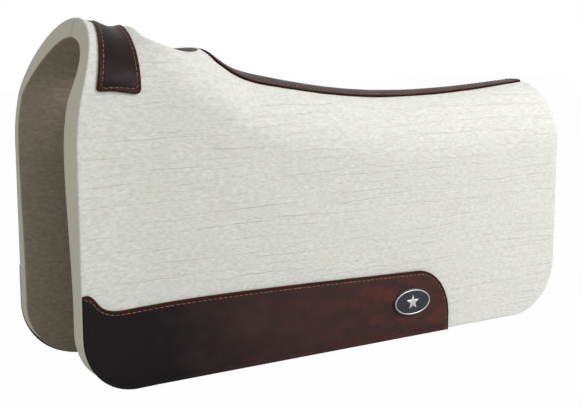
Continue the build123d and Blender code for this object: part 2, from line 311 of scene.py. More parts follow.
def panel(name, outline, step, top, thickness, rounding, side, rows=(), relief=None, border=None):
    """A panel cut to an outline in (x, reach) and laid on the felt's face, as a closed mesh.

    Its outer face is at the height top over the felt's face, and its cut edges are rounded.  rows are
    distances from the cut edge at which the mesh has a row of points, and relief(x, reach, edge) is how
    far the outer face stands out at a distance from that edge.  UVs are x and reach, in metres; the
    attribute "edge" is the distance from the cut edge, "border" the distance from the line border (or
    from the cut edge), "depth" runs from 0 outside to 1 inside, and "height" is the height at rest.
    """
    if area_of(outline) < 0:
        outline = outline[::-1]
    rim = spaced(outline, step)
    inner = inset(rim, rounding)
    fine = spaced(outline, step / 4)
    nearest = KDTree(len(fine))
    for i, (x, y) in enumerate(fine):
        nearest.insert((x, y, 0), i)
    nearest.balance()
    from_edge = lambda x, y: nearest.find((x, y, 0))[2]
    spots = []
    for distance in rows:
        spots += [p for p in inset(rim, distance) if from_edge(*p) > 0.97 * distance]
    clear = max([rounding, *rows]) + 0.6 * step
    low, high = inner.min(0), inner.max(0)
    xs = np.arange(low[0] + step / 2, high[0], step)
    for y in np.arange(low[1] + step / 2, high[1], step):
        spots += [(x, y) for x in xs[inside(inner, xs, y)] if from_edge(x, y) > clear]
    count = len(inner)
    loop = [(i, (i + 1) % count) for i in range(count)]
    corners, _, faces, *_ = delaunay_2d_cdt([Vector(p) for p in (*inner, *spots)], loop, [], 1, 1e-7)
    flat = np.array([tuple(v) for v in corners])
    edge = np.array([from_edge(*p) for p in flat])
    rise = relief(flat[:, 0], flat[:, 1], edge) if relief else 0 * edge

    # The wall: a quarter round under the outer face, a straight drop and a quarter round to the inner.
    turn = np.linspace(0, math.pi / 2, 4)[1:]
    drop = np.linspace(rounding, thickness - rounding, 2 + round(thickness / step / 1.5))[1:]
    wall = [(math.sin(t), rounding * (1 - math.cos(t))) for t in turn]
    wall += [(1.0, depth) for depth in drop]
    wall += [(math.cos(t), thickness - rounding * (1 - math.sin(t))) for t in turn[:-1]]
    places, lifts = [flat, flat], [top + rise, top - thickness + 0 * edge]
    for out, depth in wall:
        places.append(inner + (rim - inner) * out)
        lifts.append(top - depth + rise[:count] * (1 - depth / thickness))
    places, lifts = np.vstack(places), np.concatenate(lifts)
    edges = np.concatenate([edge, edge, np.zeros(count * len(wall))])
    depths = np.concatenate([0 * edge, 0 * edge + 1, *[np.full(count, d / thickness) for _, d in wall]])

    total = len(flat)
    polygons = [tuple(f) for f in faces] + [tuple(i + total for i in reversed(f)) for f in faces]
    rings = [0, *[2 * total + k * count for k in range(len(wall))], total]
    for upper, lower in zip(rings, rings[1:]):
        for i, k in loop:
            polygons.append((upper + k, upper + i, lower + i, lower + k))
    borders = edges
    if border is not None:
        marks = spaced(border, step / 4, closed=False)
        nearest = KDTree(len(marks))
        for i, (x, y) in enumerate(marks):
            nearest.insert((x, y, 0), i)
        nearest.balance()
        borders = np.array([from_edge(*p) for p in places])
    made = off_face(places[:, 0], places[:, 1], lifts, side)
    mesh = bpy.data.meshes.new(name)
    mesh.from_pydata(made.tolist(), [], polygons)
    measures = {"edge": edges, "border": borders, "depth": depths, "height": made[:, 2]}
    for label, values in measures.items():
        attribute = mesh.attributes.new(label, "FLOAT", "POINT")
        attribute.data.foreach_set("value", values.astype(np.float32))
    vertices = np.zeros(len(mesh.loops), int)
    mesh.loops.foreach_get("vertex_index", vertices)
    laid_flat = mesh.uv_layers.new(name="laid_flat")
    laid_flat.data.foreach_set("uv", places[vertices].astype(np.float32).ravel())
    work = bmesh.new()
    work.from_mesh(mesh)
    bmesh.ops.recalc_face_normals(work, faces=work.faces)
    work.to_mesh(mesh)
    work.free()
    mesh.polygons.foreach_set("use_smooth", [True] * len(mesh.polygons))
    return new_object(name, mesh)


def front_setback(reach):
    """How far the felt's front edge lies behind the foremost place, at a reach."""
    radius = half_width(FRONT_X)
    angle = np.clip(reach / radius, 0, math.pi / 2)
    over = SHOULDER_SETBACK + (CREST_SETBACK - SHOULDER_SETBACK) * np.cos(angle) ** SETBACK_POWER
    below = np.clip((reach - radius * math.pi / 2) / SETBACK_RUN, 0, 1)
    return over - SHOULDER_SETBACK * (1 - (1 - below) ** 2)


def arc(centre, radii, start, end, count=16):
    """Points of an ellipse's arc between two angles in degrees."""
    turn = np.radians(np.linspace(start, end, count))
    return np.stack([centre[0] + radii[0] * np.cos(turn), centre[1] + radii[1] * np.sin(turn)], -1)


def felt_bottom(x):
    """Height of the felt's bottom edge: the wear leather hangs below it, most at the front."""
    return FELT_LIFT * np.clip(1 - (x - FRONT_X - FELT_CORNER) / (560 * MM), 0.2, 1)


def felt_outline():
    """The left half's outline laid over the surface, in x and reach."""
    corner = arc((FRONT_X + FELT_CORNER, FELT_CORNER + FELT_LIFT), (FELT_CORNER, FELT_CORNER), 180, 270)
    middle = np.linspace(FRONT_X + FELT_CORNER, REAR_X - REAR_CORNER, 60)[1:-1]
    rear = arc((REAR_X - REAR_CORNER, REAR_CORNER), (REAR_CORNER, REAR_CORNER), 270, 360)
    rear[:, 1] += felt_bottom(rear[:, 0]) * (1 - rear[:, 1] / REAR_CORNER)
    edge = np.vstack([corner, np.stack([middle, felt_bottom(middle)], -1), rear])
    edge[:, 1] = reach_at(edge[:, 0], edge[:, 1])

    front_reach = np.linspace(0, edge[0, 1], 90)[:-1]
    front = np.stack([FRONT_X + front_setback(front_reach), front_reach], -1)
    front[:, 1] += (SEAM_HALF_GAP + SEAM_OPENING) * np.exp(-front_reach / (3 * MM))
    vent_x = FRONT_X + VENT_START
    wide_x = vent_x + VENT_FRONT_LENGTH
    front_radii = (VENT_FRONT_LENGTH, VENT_HALF_WIDTH - VENT_FRONT_FLAT)
    vent = np.vstack([
        arc((wide_x, 0), (VENT_REAR_LENGTH, VENT_HALF_WIDTH), 0, 90, 30),
        arc((wide_x, VENT_FRONT_FLAT), front_radii, 90, 180)[1:],
        [(vent_x, 0)],
    ])
    radius = half_width(vent[:, 0])
    vent[:, 1] = np.maximum(SEAM_HALF_GAP, radius * np.arcsin(np.clip(vent[:, 1] / radius, 0, 1)))
    seam_end = [(FRONT_X + CREST_SETBACK + 22 * MM, SEAM_HALF_GAP)]
    return np.vstack([front, edge, [(REAR_X, SEAM_HALF_GAP)], vent, seam_end])


def felt_relief(x, reach, edge):
    """The felt's soft swells, and long shallow wrinkles along the spine, where it has been handled."""
    heights = np.empty(len(x))
    for i, (u, v) in enumerate(zip(x, reach)):
        swell = noise.noise(Vector((u * 14, v * 22, 0.3)))
        bend = noise.noise(Vector((u * 9, v * 16, 4.1)))
        held = noise.noise(Vector((u * 10, v * 30, 8.7)))
        ridge = abs(math.sin(math.pi * (v / WRINKLE_PITCH + 1.3 * bend)))
        heights[i] = 0.5 * swell + 0.45 * min(1, ridge * 3) * max(0.0, 0.35 + held)
    return heights * MM * np.clip(edge / (12 * MM), 0, 1)


# Pressed wool felt: matted fibres with no weave, dead matt, with a mottled nap, fine wrinkles where it
# was bent, darkened along them as painted shade, and a few yellowish clumps of wool.  Its cut edge is
# denser and browner than its face and darkened round the vent as painted shade, and the side towards
# the horse is painted a darker grey-brown than the face, as painted shade.
felt_finish, tree = new_material("pressed_wool_felt")
place = add(tree, "ShaderNodeTexCoord")
flat = add(tree, "ShaderNodeUVMap", uv_map="laid_flat")
edge = add(tree, "ShaderNodeAttribute", attribute_name="edge")
depth = add(tree, "ShaderNodeAttribute", attribute_name="depth")
spots = place.outputs["Object"]
split = add(tree, "ShaderNodeSeparateXYZ", {"Vector": flat})
height = add(tree, "ShaderNodeAttribute", attribute_name="height").outputs["Fac"]
level = add(tree, "ShaderNodeCombineXYZ", {"X": split.outputs["X"], "Y": height})
creases_and_shade = None
for half_pitch, shift, seed_size in ((9.5 * MM, 0.0, 60 * MM), (6 * MM, 0.31, 40 * MM)):
    moved = add(tree, "ShaderNodeVectorMath", {0: level, 1: (shift, shift, shift)})
    bend = add(tree, "ShaderNodeTexNoise", {
        "Vector": add(tree, "ShaderNodeMapping", {"Vector": moved, "Scale": (1 / 2.6, 1, 1)}),
        "Scale": 1 / seed_size,
        "Detail": 4.0,
        "Roughness": 0.55,
    })
    sway = add(tree, "ShaderNodeMapRange", {0: bend, 1: 0, 2: 1, 3: -8 * MM, 4: 8 * MM})
    line = add(tree, "ShaderNodeMath", {
        0: add(tree, "ShaderNodeMath", {0: height, 1: sway}), 1: half_pitch,
    }, operation="PINGPONG")
    line = add(tree, "ShaderNodeMapRange", {0: line, 1: 0.0, 2: 1.0 * MM, 3: 1.0, 4: 0.0})
    shown = add(tree, "ShaderNodeMapRange", {
        0: add(tree, "ShaderNodeTexNoise", {
            "Vector": add(tree, "ShaderNodeMapping", {"Vector": moved, "Scale": (1 / 5.5, 1 / 0.6, 1)}),
            "Scale": 1 / (26 * MM),
            "Detail": 3.0,
            "Roughness": 0.55,
        }),
        1: 0.44,
        2: 0.66,
    })
    line = add(tree, "ShaderNodeMath", {0: line, 1: shown}, operation="MULTIPLY")
    if creases_and_shade is None:
        creases_and_shade = line
    else:
        creases_and_shade = add(tree, "ShaderNodeMath", {0: creases_and_shade, 1: line}, operation="MAXIMUM")
off_wall = add(tree, "ShaderNodeMapRange", {0: edge.outputs["Fac"], 1: 2 * MM, 2: 10 * MM})
creases_and_shade = add(tree, "ShaderNodeMath", {0: creases_and_shade, 1: off_wall}, operation="MULTIPLY")

mottle = add(tree, "ShaderNodeTexNoise", {
    "Vector": add(tree, "ShaderNodeMapping", {"Vector": spots, "Scale": (1 / 2.0, 1, 1 / 0.8)}),
    "Scale": 1 / (4.2 * MM),
    "Detail": 4.0,
    "Roughness": 0.7,
})
nap = add(tree, "ShaderNodeTexNoise", {
    "Vector": spots, "Scale": 1 / (1.7 * MM), "Detail": 3.0, "Roughness": 0.7,
})
clumps = add(tree, "ShaderNodeTexNoise", {
    "Vector": spots, "Scale": 1 / (26 * MM), "Detail": 3.0, "Roughness": 0.55,
})
face = add(tree, "ShaderNodeMix", {
    0: add(tree, "ShaderNodeMapRange", {0: mottle, 1: 0.32, 2: 0.68}),
    6: colour("D3D3CC"),
    7: colour("EAEAE4"),
}, data_type="RGBA")
face = add(tree, "ShaderNodeMix", {
    0: add(tree, "ShaderNodeMapRange", {0: clumps, 1: 0.56, 2: 0.75, 3: 0, 4: 0.3}),
    6: face,
    7: colour("DAD5BE"),
}, data_type="RGBA")
# Painted shade: the face colour is darkened along the crease lines.
face = add(tree, "ShaderNodeMix", {
    0: add(tree, "ShaderNodeMath", {0: creases_and_shade, 1: 0.24}, operation="MULTIPLY"),
    6: face,
    7: colour("8F8A7A"),
}, data_type="RGBA")
cut = add(tree, "ShaderNodeMix", {
    0: add(tree, "ShaderNodeMapRange", {0: nap, 1: 0.35, 2: 0.65}),
    6: colour("CBC8B2"),
    7: colour("DAD7C4"),
}, data_type="RGBA")
# Painted shade: the side towards the horse is the same felt, painted darker grey-brown than the face.
under = add(tree, "ShaderNodeMix", {
    0: add(tree, "ShaderNodeMapRange", {0: mottle, 1: 0.3, 2: 0.7}),
    6: colour("8A806E"),
    7: colour("A69C88"),
}, data_type="RGBA")
# Painted shade: the cut faces round the vent, inside the slot, are darkened.
vent_x = FRONT_X + VENT_START
behind = add(tree, "ShaderNodeMapRange", {
    0: split.outputs["X"], 1: vent_x - 4 * MM, 2: vent_x - 2 * MM,
})
before = add(tree, "ShaderNodeMapRange", {
    0: split.outputs["X"], 1: VENT_END + 2 * MM, 2: VENT_END + 6 * MM, 3: 1, 4: 0,
})
by_spine = add(tree, "ShaderNodeMapRange", {0: split.outputs["Y"], 1: 84 * MM, 2: 90 * MM, 3: 1, 4: 0})
painted_vent_shade = add(tree, "ShaderNodeMath", {
    0: add(tree, "ShaderNodeMath", {0: behind, 1: before}, operation="MULTIPLY"), 1: by_spine,
}, operation="MULTIPLY")
cut = add(tree, "ShaderNodeMix", {0: painted_vent_shade, 6: cut, 7: colour("857E6E")}, data_type="RGBA")
shade = add(tree, "ShaderNodeMix", {
    0: add(tree, "ShaderNodeMapRange", {0: depth.outputs["Fac"], 1: 0.02, 2: 0.1}), 6: face, 7: cut,
}, data_type="RGBA")
shade = add(tree, "ShaderNodeMix", {
    0: add(tree, "ShaderNodeMapRange", {0: depth.outputs["Fac"], 1: 0.93, 2: 0.99}), 6: shade, 7: under,
}, data_type="RGBA")
tufts = add(tree, "ShaderNodeMapRange", {0: mottle, 1: 0, 2: 1, 3: 0, 4: 0.55 * MM})
pile = add(tree, "ShaderNodeMath", {
    0: tufts, 1: add(tree, "ShaderNodeMapRange", {0: nap, 1: 0, 2: 1, 3: 0, 4: 0.4 * MM}),
})
pile = add(tree, "ShaderNodeMath", {
    0: pile, 1: add(tree, "ShaderNodeMath", {0: creases_and_shade, 1: 0.45 * MM}, operation="MULTIPLY"),
}, operation="SUBTRACT")
bump = add(tree, "ShaderNodeBump", {"Height": pile, "Strength": 0.8, "Distance": 1.0})
wool = add(
    tree,
    "ShaderNodeBsdfPrincipled",
    {
        "Base Color": shade,
        "Normal": bump,
        "Roughness": 0.95,
        "Specular IOR Level": 0.2,
        "Sheen Weight": 0.12,
        "Sheen Roughness": 0.6,
    },
)
add(tree, "ShaderNodeOutputMaterial", {"Surface": wool})


def vertices_of(piece):
    """The places of a mesh's vertices, and their depth below the outer face, from 0 to 1."""
    mesh = piece.data
    places = np.zeros(3 * len(mesh.vertices))
    mesh.vertices.foreach_get("co", places)
    depth = np.zeros(len(mesh.vertices))
    mesh.attributes["depth"].data.foreach_get("value", depth)
    return places.reshape(-1, 3), depth


def slant_cut(piece, upper, lower):
    """Move the inner edge of the front cut back, by one distance high up and another low down."""
    places, depth = vertices_of(piece)
    share = np.clip((places[:, 2] - 100 * MM) / (190 * MM), 0, 1)
    lean = lower + (upper - lower) * share**2 * (3 - 2 * share)
    places[:, 0] += lean * depth * np.clip(1 - (places[:, 0] - FRONT_X) / (90 * MM), 0, 1) ** 2
    piece.data.vertices.foreach_set("co", places.ravel())


def wrinkle_inside(piece, side):
    """Folds that the bend presses into the inner face, under the crown and most at the front."""
    places, depth = vertices_of(piece)
    radius = BODY_HALF_WIDTH - FELT_THICKNESS
    centre = crest_height(places[:, 0]) - half_width(places[:, 0])
    for i in np.flatnonzero(depth > 0.9):
        x, y, z = places[i]
        angle = math.atan2(abs(y), z - centre[i])
        if angle > 2.0:
            continue
        wander = noise.noise(Vector((x * 16, side * angle * 1.6, 5.5)))
        fold = math.sin(angle * radius / (FOLD_PITCH / math.tau) + 5 * wander + x * 20)
        strength = 0.25 + 0.75 * math.exp(-(((x - FRONT_X) / (130 * MM)) ** 2))
        strength *= math.exp(-((angle / 1.15) ** 4))
        strength *= min(1, (x - FRONT_X - front_setback(abs(y))) / (14 * MM))
        strength *= min(1, abs(y) / (4 * MM))
        held = 0.55 + 0.9 * noise.noise(Vector((x * 12, side * angle * 3, 1.9)))
        drop = FOLD_DEPTH * max(0.0, fold) ** 2 * max(0.0, strength) * max(0.0, held)
        places[i] += np.array([0, -math.copysign(math.sin(angle), y), -math.cos(angle)]) * drop
    piece.data.vertices.foreach_set("co", places.ravel())


# How far back the front cut's inner edge leans on each half, high up and low down.
CUT_SLANTS = {"left": (-1.5 * MM, 4.5 * MM), "right": (1 * MM, 4 * MM)}
felt_line = felt_outline()
for name, side in SIDES.items():
    felt = panel(
        f"{name}_felt_half",
        felt_line,
        FELT_STEP,
        0.0,
        FELT_THICKNESS,
        FELT_EDGE_ROUND,
        side,
        relief=felt_relief,
    )
    slant_cut(felt, *CUT_SLANTS[name])
    wrinkle_inside(felt, side)
    felt.data.materials.append(felt_finish)
    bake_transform(felt)
    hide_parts(f"felt_{name}")

# ---------------------------------------------------------------- wither strap
# A strap of oiled leather over the bridge in front of the vent, which ties the two halves together.
# It is stitched all round, its ends are wider and lean forward, and its edges are dyed and burnished.
LEATHER = 3.2 * MM
LEATHER_TOP = 3.5 * MM
STITCH_INSET = 5 * MM
STRAP_START = 66 * MM
STRAP_WIDTH = 40 * MM
STRAP_REACH = 137 * MM
STRAP_LEAN = 37 * MM
STRAP_END_WIDTH = 57 * MM
STRAP_END_SLANT = 9 * MM
STRAP_CORNER = 7 * MM
STRAP_LEAN_POWER = 0.9
STRAP_STEP = 2.6 * MM
LEATHER_STEP = 3 * MM
LEATHER_ROUND = 0.7 * MM
# Rows of points in from a leather's edge, closest about its stitches.
LEATHER_ROWS = (2 * MM, 3.6 * MM, 5 * MM, 6.4 * MM, 8 * MM)


def leather_relief(x, reach, edge):
    """The groove that the stitches pull along the edge, and the border's slight fall towards it."""
    groove = -0.4 * np.exp(-(((edge - STITCH_INSET) / (1.3 * MM)) ** 2))
    swell = [0.22 * noise.noise(Vector((u * 24, v * 24, 2.2))) for u, v in zip(x, reach)]
    return (groove + np.array(swell) * np.clip(edge / STITCH_INSET, 0, 1)) * MM


def leather_finish(name, dark, middle, warm, border, gloss, shine, painted_shade_x, painted_light_x):
    """Oiled pull-up leather: waxy and blotched, smooth grain, with a dyed and burnished border.

    Along x its colour is painted dark, as painted shade, towards the first x place given, and warm, as
    painted light, towards the second; broad noise makes that run uneven.
    """
    finish, tree = new_material(name)
    spots = add(tree, "ShaderNodeTexCoord").outputs["Object"]
    edge = add(tree, "ShaderNodeAttribute", attribute_name="border").outputs["Fac"]
    depth = add(tree, "ShaderNodeAttribute", attribute_name="depth").outputs["Fac"]
    broad = add(tree, "ShaderNodeTexNoise", {
        "Vector": add(tree, "ShaderNodeMapping", {"Vector": spots, "Scale": (1 / 1.5, 1, 1)}),
        "Scale": 1 / (75 * MM),
        "Detail": 4.0,
        "Roughness": 0.6,
    })
    patches = add(tree, "ShaderNodeTexNoise", {
        "Vector": add(tree, "ShaderNodeMapping", {"Vector": spots, "Scale": (1 / 1.6, 1, 1 / 0.8)}),
        "Scale": 1 / (22 * MM),
        "Detail": 4.0,
        "Roughness": 0.6,
    })
    grain = add(tree, "ShaderNodeTexNoise", {
        "Vector": spots, "Scale": 1 / (1.6 * MM), "Detail": 3.0, "Roughness": 0.6,
    })
    pores = add(tree, "ShaderNodeTexVoronoi", {"Vector": spots, "Scale": 1 / (1.5 * MM)})
    x = add(tree, "ShaderNodeSeparateXYZ", {"Vector": spots}).outputs["X"]
    # Painted shade and light: the colour runs from dark to warm along x, made uneven by broad noise.
    worn = add(tree, "ShaderNodeMapRange", {0: broad, 1: 0.2, 2: 0.8, 3: -0.3, 4: 0.3})
    painted_light_and_wear = add(tree, "ShaderNodeMath", {
        0: add(tree, "ShaderNodeMapRange", {0: x, 1: painted_shade_x, 2: painted_light_x}), 1: worn,
    })
    shade = add(tree, "ShaderNodeMix", {
        0: add(tree, "ShaderNodeMapRange", {0: painted_light_and_wear, 1: 0.1, 2: 0.55}),
        6: colour(dark),
        7: colour(middle),
    }, data_type="RGBA")
    blotched = add(tree, "ShaderNodeMapRange", {0: patches, 1: 0.38, 2: 0.66})
    # Painted light: the warm colour shows in the blotches only towards the lit end.
    lit_and_blotched = add(tree, "ShaderNodeMath", {
        0: add(tree, "ShaderNodeMapRange", {0: painted_light_and_wear, 1: 0.45, 2: 1.0}), 1: blotched,
    }, operation="MULTIPLY")
    shade = add(tree, "ShaderNodeMix", {0: lit_and_blotched, 6: shade, 7: colour(warm)}, data_type="RGBA")
    shade = add(tree, "ShaderNodeMix", {
        0: add(tree, "ShaderNodeMapRange", {0: grain, 1: 0.5, 2: 0.8, 3: 0, 4: 0.3}),
        6: shade,
        7: colour(dark),
    }, data_type="RGBA")
    uneven = add(tree, "ShaderNodeMath", {
        0: edge,
        1: add(tree, "ShaderNodeMapRange", {0: patches, 1: 0, 2: 1, 3: -1.2 * MM, 4: 1.2 * MM}),
    })
    shade = add(tree, "ShaderNodeMix", {
        0: add(tree, "ShaderNodeMapRange", {0: uneven, 1: 2.2 * MM, 2: 5.2 * MM, 3: 1, 4: 0}),
        6: shade,
        7: colour(border),
    }, data_type="RGBA")
    shade = add(tree, "ShaderNodeMix", {
        0: add(tree, "ShaderNodeMapRange", {0: depth, 1: 0.1, 2: 0.3, 3: 0, 4: 0.8}),
        6: shade,
        7: colour("24110C"),
    }, data_type="RGBA")
    pitted = add(tree, "ShaderNodeMapRange", {0: pores, 1: 0, 2: 1, 3: 0, 4: 0.1 * MM})
    height = add(tree, "ShaderNodeMath", {
        0: pitted, 1: add(tree, "ShaderNodeMapRange", {0: grain, 1: 0, 2: 1, 3: 0, 4: 0.16 * MM}),
    })
    bump = add(tree, "ShaderNodeBump", {"Height": height, "Strength": 0.7, "Distance": 1.0})
    sheen = add(tree, "ShaderNodeMapRange", {
        0: patches, 1: 0.3, 2: 0.7, 3: gloss - 0.07, 4: gloss + 0.09,
    })
    hide = add(
        tree,
        "ShaderNodeBsdfPrincipled",
        {
            "Base Color": shade,
            "Normal": bump,
            "Roughness": sheen,
            "Specular IOR Level": shine,
        },
    )
    add(tree, "ShaderNodeOutputMaterial", {"Surface": hide})
    return finish


strap_finish = leather_finish(
    "oiled_harness_leather",
    dark="190D0B",
    middle="24130F",
    warm="3E1D13",
    border="34150C",
    gloss=0.42,
    shine=0.07,
    # Where the painted shade and the painted light lie along x.
    painted_shade_x=-0.45,
    painted_light_x=0.1,
)


def halved(piece, name, side):
    """One side of a piece that crosses the spine, cut through the spine plane and closed there."""
    half = new_object(name, piece.data.copy())
    work = bmesh.new()
    work.from_mesh(half.data)
    everything = [*work.verts, *work.edges, *work.faces]
    spine = {"plane_co": (0, 0, 0), "plane_no": (0, side, 0)}
    cut = bmesh.ops.bisect_plane(work, geom=everything, clear_inner=True, **spine)
    lips = [e for e in cut["geom_cut"] if isinstance(e, bmesh.types.BMEdge)]
    bmesh.ops.triangle_fill(work, edges=lips, use_beauty=True)
    for e in lips:
        e.smooth = False
    bmesh.ops.recalc_face_normals(work, faces=work.faces)
    work.to_mesh(half.data)
    work.free()
    return half


def strap_front(reach):
    """Where the strap's front edge lies along the spine, at a reach."""
    return FRONT_X + STRAP_START - STRAP_LEAN * (np.abs(reach) / STRAP_REACH) ** STRAP_LEAN_POWER


def strap_rear(reach):
    """Where its rear edge lies."""
    wider = (STRAP_END_WIDTH - STRAP_WIDTH) * np.abs(reach) / STRAP_REACH
    return strap_front(reach) + STRAP_WIDTH + wider


def rounded(points, radius, count=6):
    """An open polyline with each inner corner that turns sharply rounded off."""
    points = [np.array(p, float) for p in points]
    result = [points[0]]
    for before, corner, after in zip(points, points[1:], points[2:]):
        a, b = before - corner, after - corner
        length_a, length_b = np.linalg.norm(a), np.linalg.norm(b)
        a, b = a / length_a, b / length_b
        if a @ b < -0.8:
            result.append(corner)
            continue
        cut = min(radius, 0.45 * length_a, 0.45 * length_b)
        for t in np.linspace(0, 1, count):
            result.append(corner + a * cut * (1 - t) ** 2 + b * cut * t**2)
    return np.array(result + [points[-1]])


def strap_side(distance):
    """The strap's left edge, a distance in from the cut: down the front, along, and up the rear."""
    down = np.linspace(0, STRAP_REACH + STRAP_END_SLANT - distance, 9)
    up = np.linspace(STRAP_REACH - STRAP_END_SLANT - distance, 0, 9)
    front = np.stack([strap_front(down) + distance, down], -1)
    rear = np.stack([strap_rear(up) - distance, up], -1)
    return rounded(np.vstack([front, rear]), STRAP_CORNER - 0.6 * distance)


left_edge = strap_side(0)
strap_line = np.vstack([left_edge, (left_edge * [1, -1])[::-1][1:-1]])
whole = panel(
    "wither_strap",
    strap_line,
    STRAP_STEP,
    LEATHER_TOP,
    LEATHER,
    LEATHER_ROUND,
    -1,
    LEATHER_ROWS,
    leather_relief,
)
whole.data.materials.append(strap_finish)
for name, side in SIDES.items():
    strap = halved(whole, f"wither_strap_{name}", side)
    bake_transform(strap)
    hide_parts("wither_strap")
bpy.data.objects.remove(whole)

# ---------------------------------------------------------------- spine strip
# A long strip of the same leather over the seam behind the vent, tapered from 100 mm to 32 mm and
# stitched down both edges.  It shows from the side as a thin dark line along the crest.
STRIP_START = 212 * MM
STRIP_FRONT_HALF_WIDTH = 50 * MM
STRIP_REAR_HALF_WIDTH = 16 * MM
STRIP_END_MARGIN = 6 * MM


def strip_side(distance):
    """The strip's left edge, a distance in from the cut, from front middle to rear middle."""
    x = np.linspace(FRONT_X + STRIP_START + distance, REAR_X - STRIP_END_MARGIN - distance, 60)
    share = (x - x[0]) / (x[-1] - x[0])
    half = STRIP_FRONT_HALF_WIDTH + (STRIP_REAR_HALF_WIDTH - STRIP_FRONT_HALF_WIDTH) * share - distance
    edge = np.stack([x, half], -1)
    return rounded(np.vstack([[(x[0], 0)], edge, [(x[-1], 0)]]), 8 * MM - 0.6 * distance)


left_edge = strip_side(0)
strip_line = np.vstack([left_edge, (left_edge * [1, -1])[::-1][1:-1]])
whole = panel(
    "spine_strip",
    strip_line,
    LEATHER_STEP,
    LEATHER_TOP,
    LEATHER,
    LEATHER_ROUND,
    -1,
    LEATHER_ROWS,
    leather_relief,
)
whole.data.materials.append(strap_finish)
for name, side in SIDES.items():
    strip = halved(whole, f"spine_strip_{name}", side)
    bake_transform(strip)
    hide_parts("spine_strip")
bpy.data.objects.remove(whole)

# ---------------------------------------------------------------- wear leathers
# A panel of heavier brown leather on each side's lower front, where the cinch and the stirrup leathers
# rub.  It rises to a tip at the front edge, and its rear end is rounded; stitched along the top.
WEAR_LENGTH = 572 * MM
WEAR_CURVE = 512 * MM
WEAR_REAR_DROP = 70 * MM
WEAR_HOLLOW = 62 * MM
WEAR_EDGE_ROUND = 0.8 * MM
wear_finish = leather_finish(
    "pull_up_saddle_leather",
    dark="181517",
    middle="3B2A28",
    warm="553028",
    border="3A170D",
    gloss=0.46,
    shine=0.11,
    # Where the painted shade and the painted light lie along x.
    painted_shade_x=-0.37,
    painted_light_x=0.1,
)

# Its top edge, as distance behind the front edge and height: the tip, the hollow behind it, the long
# edge that falls slightly, and where the rear corner begins.
wear_height = smooth_curve([
    (FRONT_X + d * MM, z * MM)
    for d, z in [
        (0, 126.5), (9, 126.4), (16, 121), (23, 112.5), (32, 106), (46, 102), (62, 101.4),
        (120, 102.6), (233, 102.2), (360, 99), (460, 95.8), (512, 94.3),
    ]
])


def wear_top(distance):
    """The leather's top and rear edge in (x, z), a distance in from the cut, from the front edge."""
    curve = FRONT_X + WEAR_CURVE
    hollow = FRONT_X + WEAR_HOLLOW
    x = np.concatenate([np.linspace(FRONT_X, hollow, 40), np.linspace(hollow, curve, 90)[1:-1]])
    centre = (curve, float(wear_height(curve)) - WEAR_REAR_DROP)
    rear = arc(centre, (WEAR_LENGTH - WEAR_CURVE, WEAR_REAR_DROP), 90, 0, 24)
    line = np.vstack([np.stack([x, wear_height(x)], -1), rear, [(FRONT_X + WEAR_LENGTH, 0)]])
    along = np.gradient(line, axis=0)
    along /= np.linalg.norm(along, axis=1, keepdims=True)
    line += distance * np.stack([along[:, 1], -along[:, 0]], -1)
    line[-1] = FRONT_X + WEAR_LENGTH - distance, 0
    line = line[line[:, 0] >= FRONT_X + (distance and 3 * MM)]
    return spaced(line, 4 * MM, closed=False)


corner = arc((FRONT_X + FRONT_CORNER, FRONT_CORNER), (FRONT_CORNER, FRONT_CORNER), 270, 180)
wear_line = spaced(np.vstack([wear_top(0), corner]), 4 * MM)
wear_line[:, 1] = reach_at(wear_line[:, 0], wear_line[:, 1])
stitched_edge = wear_top(0)
stitched_edge[:, 1] = reach_at(stitched_edge[:, 0], stitched_edge[:, 1])
wear_leathers = {}
for name, side in SIDES.items():
    wear = panel(
        f"{name}_wear_panel",
        wear_line,
        LEATHER_STEP,
        LEATHER_TOP,
        LEATHER,
        WEAR_EDGE_ROUND,
        side,
        LEATHER_ROWS,
        leather_relief,
        stitched_edge,
    )
    wear.data.materials.append(wear_finish)
    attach(wear, f"{name}_side")
    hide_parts(f"wear_leather_{name}")
    wear_leathers[name] = wear

# ---------------------------------------------------------------- stitching
# Waxed thread in long saddle stitches, 5 mm in from the edge of each leather and 7.5 mm apart.  Each
# stitch is a short arched length that goes down into the leather at both its ends.
STITCH_PITCH = 7.5 * MM
STITCH_LENGTH = 5.8 * MM
THREAD_WIDTH = 1.2 * MM

thread_finish, tree = new_material("waxed_polyester_thread")
spots = add(tree, "ShaderNodeTexCoord").outputs["Object"]
soil = add(tree, "ShaderNodeTexNoise", {
    "Vector": spots, "Scale": 1 / (9 * MM), "Detail": 3.0, "Roughness": 0.55,
})
twist = add(tree, "ShaderNodeTexNoise", {
    "Vector": spots, "Scale": 1 / (0.6 * MM), "Detail": 3.0, "Roughness": 0.55,
})
shade = add(tree, "ShaderNodeMix", {
    0: add(tree, "ShaderNodeMapRange", {0: soil, 1: 0.35, 2: 0.65}),
    6: colour("5C4030"),
    7: colour("85624A"),
}, data_type="RGBA")
bump = add(tree, "ShaderNodeBump", {
    "Height": add(tree, "ShaderNodeMapRange", {0: twist, 1: 0, 2: 1, 3: 0, 4: 0.2 * MM}),
    "Strength": 0.8,
    "Distance": 1.0,
})
waxed = add(tree, "ShaderNodeBsdfPrincipled", {"Base Color": shade, "Normal": bump, "Roughness": 0.6})
add(tree, "ShaderNodeOutputMaterial", {"Surface": waxed})

# The tree that sews a row: stitches along a line, each turned to the leather under it.
def new_tree(name, **kinds):
    """A geometry node tree, the sockets that it takes, by label, and what they give inside it."""
    tree = bpy.data.node_groups.new(name, "GeometryNodeTree")
    sockets = {
        label: tree.interface.new_socket(label, in_out="INPUT", socket_type="NodeSocket" + kind)
        for label, kind in {"Geometry": "Geometry", **kinds}.items()
    }
    tree.interface.new_socket("Geometry", in_out="OUTPUT", socket_type="NodeSocketGeometry")
    return tree, sockets, add(tree, "NodeGroupInput").outputs


